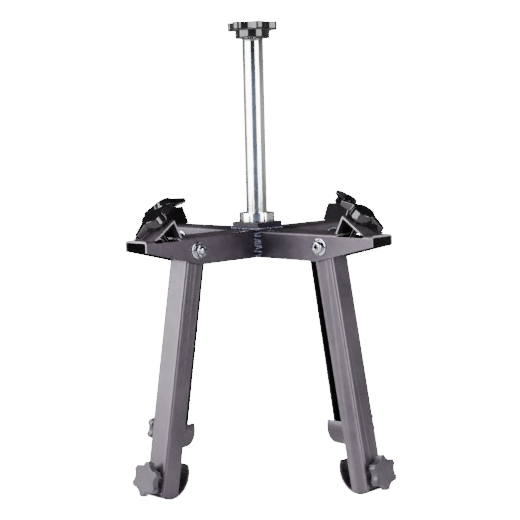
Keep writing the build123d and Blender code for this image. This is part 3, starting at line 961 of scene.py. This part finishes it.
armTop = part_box("arm_right")[1][2]
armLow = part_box("arm_right")[0][2]
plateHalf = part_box("hub_plate")[1][0]
beads = weldTree(finishes["weld_black"])
diagonal = armHalf + cornerWeld["corner"]
low, high = armLow + cornerWeld["lowGap"], armTop - cornerWeld["highGap"]
side, rise = plateHalf + plateWeld["side"], armTop + plateWeld["rise"]
gap = plateWeld["endGap"]
cornerLie, plateLie = (0, 0, -math.pi / 4), (math.pi / 2, 0, 0)
runs = [
    ("cornerBead", cornerWeld, (diagonal, diagonal, low), (diagonal, diagonal, high), cornerLie),
    ("plateBead", plateWeld, (side, -plateHalf + gap, rise), (side, plateHalf - gap, rise), plateLie),
]
parts = []
for name, look, start, end, lie in runs:
    values = {**look, "Start": start, "End": end, "Lie": lie}
    parts.append((runTree(name, beads, values, 60, outward=False), Matrix.Identity(4)))
weldAround = aroundTree(finishes["weld_black"])
welds = aroundPost("weldBeads", joined("weldQuarter", parts), weldAround, 60)
finishPiece("weldBeads", welds, ["hub_welds"], "base")
print("weld beads:", len(welds.polygons), "faces")


# sheet and plate work: the CAD shape with its cut edges softened
sheetEdges = {
    "arm": 0.55 * mm, "bracket": 0.5 * mm, "leg": 0.55 * mm, "shoe": 0.6 * mm, "hub_plate": 0.9 * mm,
}
sheetBody = {"arm": "base", "bracket": "base", "leg": "leg_", "shoe": "leg_", "hub_plate": "base"}


def softened(name, nodeName, width):
    shape = bmesh.new()
    shape.from_mesh(frame["nodes"][nodeName].data)
    bmesh.ops.remove_doubles(shape, verts=shape.verts, dist=0.000002)
    bmesh.ops.dissolve_limit(shape, angle_limit=math.radians(0.4), verts=shape.verts, edges=shape.edges)
    mesh = bpy.data.meshes.new(name + "Plain")
    shape.to_mesh(mesh)
    shape.free()
    mesh.shade_smooth()
    holder = newObject(name + "Plain", mesh)
    bevel = holder.modifiers.new("cutEdges", "BEVEL")
    bevel.width = width
    bevel.segments = 3
    bevel.limit_method = "ANGLE"
    bevel.angle_limit = math.radians(32)
    bevel.use_clamp_overlap = True
    weighted = holder.modifiers.new("flatFaces", "WEIGHTED_NORMAL")
    weighted.weight = 80
    weighted.keep_sharp = True
    depsgraph = bpy.context.evaluated_depsgraph_get()
    result = bpy.data.meshes.new_from_object(holder.evaluated_get(depsgraph), depsgraph=depsgraph)
    result.name = name
    holder.modifiers.clear()
    bpy.data.objects.remove(holder)
    return result


for kind, width in sheetEdges.items():
    for corner in ([""] if kind == "hub_plate" else corners):
        nodeName = kind + ("_" + corner if corner else "")
        body = sheetBody[kind] + (corner if sheetBody[kind] == "leg_" else "")
        mesh = softened(nodeName + "Sheet", nodeName, width)
        finishPiece(nodeName + "Sheet", mesh, [nodeName], body, sheetPaint.get(kind))
print("sheet pieces:", len(sheetEdges) * 4 - 3)


# post and collar, turned round the axis
postLook = {
    "radius": 16.0 * mm, "bore": 13.0 * mm, "edge": 0.8 * mm, "collar": 27.0 * mm, "collarEdge": 0.9 * mm,
    "collarGap": 0.02 * mm, "collarLip": 0.8 * mm, "collarBevel": 0.6 * mm,
}
postLow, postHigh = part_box("post")[0][2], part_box("post")[1][2]
collarLow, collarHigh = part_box("collar")[0][2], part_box("collar")[1][2]
postTall = postHigh - postLow
r, b, e = postLook["radius"], postLook["bore"], postLook["edge"]
postMesh = turnedShape("brightPost", [
    (b, postLow), (r, postLow), (r, postLow + postTall * 0.33), (r, postLow + postTall * 0.66),
    (r, postHigh - e), (r - e * 0.3, postHigh - e * 0.3), (r - e, postHigh), (b, postHigh),
], 128, loop=True)
finishPiece("brightPost", postMesh, ["post"], "base")
r, e = postLook["collar"], postLook["collarEdge"]
b = postLook["radius"] + postLook["collarGap"]
collarMesh = turnedShape("brightCollar", [
    (b, collarLow), (r - e * 0.4, collarLow), (r, collarLow + e * 0.4), (r, collarHigh - e),
    (r - e * 0.1, collarHigh - e * 0.5), (r - e * 0.5, collarHigh - e * 0.1), (r - e, collarHigh),
    (postLook["radius"] + postLook["collarLip"], collarHigh), (b, collarHigh - postLook["collarBevel"]),
], 128, loop=True)
finishPiece("brightCollar", collarMesh, ["collar"], "base")
print("post and collar turned")


# floor and studio
stageLook = {
    "floorSize": 14.0, "floorTone": 0.86, "floorRough": 0.8, "floorGlow": 22.0, "backGlow": 22.0,
    "zenith": 0.03, "horizon": 0.52, "zenithFrom": 0.38, "gap": (0.36, 0.44, 0.66),
}
# the walls' brightness, at shares of a full turn from -X by way of -Y
wallStops = [
    (0.0, grey(1.0)), (0.28, grey(1.0)), (0.335, stageLook["gap"]), (0.40, stageLook["gap"]),
    (0.455, grey(1.0)), (0.75, grey(1.0)), (0.80, grey(0.35)), (0.95, grey(0.35)), (1.0, grey(1.0)),
]


def makeFloor():
    bpy.ops.mesh.primitive_plane_add(size=stageLook["floorSize"])
    floor = bpy.context.object
    floor.name = "floor"
    mat, tree, shader, coords = newMaterial("paleFloor")
    tone = stageLook["floorTone"]
    colour = addRamp(tree, addNoise(tree, coords, 1.5), [(0.3, grey(tone - 0.01)), (0.7, grey(tone + 0.01))])
    tree.links.new(colour, shader.inputs["Base Color"])
    shader.inputs["Roughness"].default_value = stageLook["floorRough"]
    shader.inputs["Emission Color"].default_value = (1.0, 1.0, 1.0, 1.0)
    seen = tree.nodes.new("ShaderNodeLightPath").outputs["Is Camera Ray"]
    glow = addMath(tree, "MULTIPLY", seen, stageLook["floorGlow"])
    tree.links.new(glow, shader.inputs["Emission Strength"])
    floor.data.materials.append(mat)


def makeStudio():
    # pale walls, a dim ceiling, and a darker bluish gap between the two big lights
    world = bpy.data.worlds.new("studio")
    world.use_nodes = True
    tree = world.node_tree
    shade = tree.nodes["Background"]
    direction = tree.nodes.new("ShaderNodeTexCoord").outputs["Generated"]
    split = tree.nodes.new("ShaderNodeSeparateXYZ")
    tree.links.new(direction, split.inputs[0])
    horizon, zenith = grey(stageLook["horizon"]), grey(stageLook["zenith"])
    up = addRamp(tree, split.outputs["Z"], [(0.0, horizon), (stageLook["zenithFrom"], zenith)])
    turn = addMath(tree, "ARCTAN2", split.outputs["Y"], split.outputs["X"])
    turn = addMath(tree, "ADD", addMath(tree, "DIVIDE", turn, 2 * math.pi), 0.5)
    ring = addRamp(tree, turn, wallStops)
    lit = addMix(tree, 1.0, up, ring, "MULTIPLY")
    seen = tree.nodes.new("ShaderNodeLightPath").outputs["Is Camera Ray"]
    glow = stageLook["backGlow"]
    tree.links.new(addMix(tree, seen, lit, grey(glow)), shade.inputs["Color"])
    bpy.context.scene.world = world


# each light: place, width, height, power, aimed at a point on the post's axis
lights = {
    "softLeft": {"turn": -107.0, "distance": 2.4, "height": 1.20, "wide": 2.9, "tall": 1.9, "watts": 250},
    "softRight": {"turn": -1.0, "distance": 2.4, "height": 1.15, "wide": 1.6, "tall": 1.7, "watts": 120},
}


def makeLights():
    for name, item in lights.items():
        lamp = bpy.data.lights.new(name, "AREA")
        lamp.shape = "RECTANGLE"
        lamp.size = item["wide"]
        lamp.size_y = item["tall"]
        lamp.energy = item["watts"]
        holder = newObject(name, lamp)
        turn = math.radians(item["turn"])
        x, y = (item["distance"] * way(turn) for way in (math.cos, math.sin))
        holder.location = (x, y, item["height"])
        aim = Vector((0, 0, item["height"])) - holder.location
        holder.rotation_euler = aim.to_track_quat("-Z", "Y").to_euler()
        holder.visible_camera = False


viewLook = {
    "azimuth": 44.27, "elevation": 6.0, "roll": -1.43, "distance": 2.1335, "height": 0.3265,
    "lens": 95.91, "shiftX": 0.0038, "shiftY": 0.0029,
}


def makeCamera():
    az, el, roll = (math.radians(viewLook[k]) for k in ("azimuth", "elevation", "roll"))
    back = Vector((math.sin(az) * math.cos(el), -math.cos(az) * math.cos(el), math.sin(el)))
    side = Vector((math.cos(az), math.sin(az), 0))
    up = back.cross(side)
    turn = Matrix((side, up, back)).transposed() @ Matrix.Rotation(roll, 3, "Z")
    camera = newObject("camera", bpy.data.cameras.new("camera"))
    camera.location = Vector((0, 0, viewLook["height"])) + back * viewLook["distance"]
    camera.rotation_mode = "QUATERNION"
    camera.rotation_quaternion = turn.to_quaternion()
    camera.data.lens = viewLook["lens"]
    camera.data.shift_x = viewLook["shiftX"]
    camera.data.shift_y = viewLook["shiftY"]
    camera.data.clip_end = 50
    bpy.context.scene.camera = camera


makeFloor()
makeStudio()
makeLights()
makeCamera()
print("stage, lights and camera ready")
